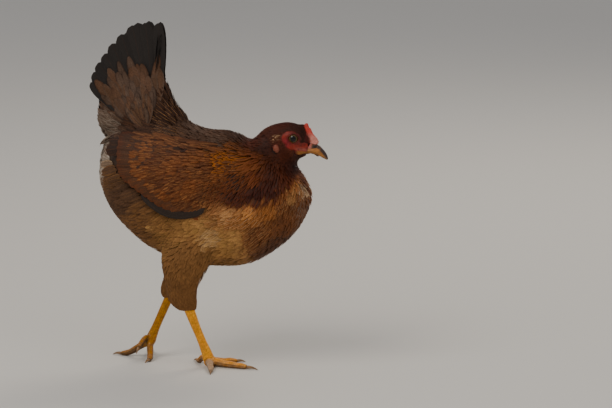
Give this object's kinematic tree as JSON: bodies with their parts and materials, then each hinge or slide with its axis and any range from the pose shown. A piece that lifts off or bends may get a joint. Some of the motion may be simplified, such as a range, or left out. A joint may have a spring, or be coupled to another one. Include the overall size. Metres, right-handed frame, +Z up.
{
  "type": "chicken, still life-size model",
  "caption": "Still, life-size model of a small brown hen in mid-stride, tail held high, weight on its right foot and its left foot trailing.",
  "frame": {"origin": "on the floor, under the middle of the whole bird's box", "axes": "+X the way the bird faces, +Y its left side, +Z up"},
  "size_m": [0.2844, 0.129, 0.4159],
  "materials": {
    "feathers_dark": "matte dark brown feathers",
    "feathers_brown": "matte brown feathers",
    "feathers_rufous": "satin rufous wing feathers",
    "feathers_black": "satin blue-black flight feathers",
    "feathers_tan": "matte tan down",
    "comb_skin": "soft waxy red skin",
    "lobe_skin": "soft pale skin",
    "bill_horn": "satin ochre horn",
    "leg_scales": "satin yellow scales",
    "claw_horn": "dusty grey horn",
    "eye": "wet olive-amber eye"
  },
  "bodies": {
    "root": {"bill_lower": "bill_horn", "bill_upper": "bill_horn", "claw_hind_left": "claw_horn", "claw_hind_right": "claw_horn", "claw_inner_left": "claw_horn", "claw_inner_right": "claw_horn", "claw_middle_left": "claw_horn", "claw_middle_right": "claw_horn", "claw_outer_left": "claw_horn", "claw_outer_right": "claw_horn", "comb": "comb_skin", "earlobe_left": "lobe_skin", "earlobe_right": "lobe_skin", "eye_left": "eye", "eye_right": "eye", "head": "feathers_dark", "neck": "feathers_dark", "primaries_left": "feathers_black", "primaries_right": "feathers_black", "shank_left": "leg_scales", "shank_right": "leg_scales", "tail_base": "feathers_dark", "tail_left": "feathers_black", "tail_right": "feathers_black", "thigh_left": "feathers_tan", "thigh_right": "feathers_tan", "toe_hind_left": "leg_scales", "toe_hind_right": "leg_scales", "toe_inner_left": "leg_scales", "toe_inner_right": "leg_scales", "toe_middle_left": "leg_scales", "toe_middle_right": "leg_scales", "toe_outer_left": "leg_scales", "toe_outer_right": "leg_scales", "trunk": "feathers_brown", "wattle_left": "comb_skin", "wattle_right": "comb_skin", "wing_left": "feathers_rufous", "wing_right": "feathers_rufous"}
  },
  "joints": []
}
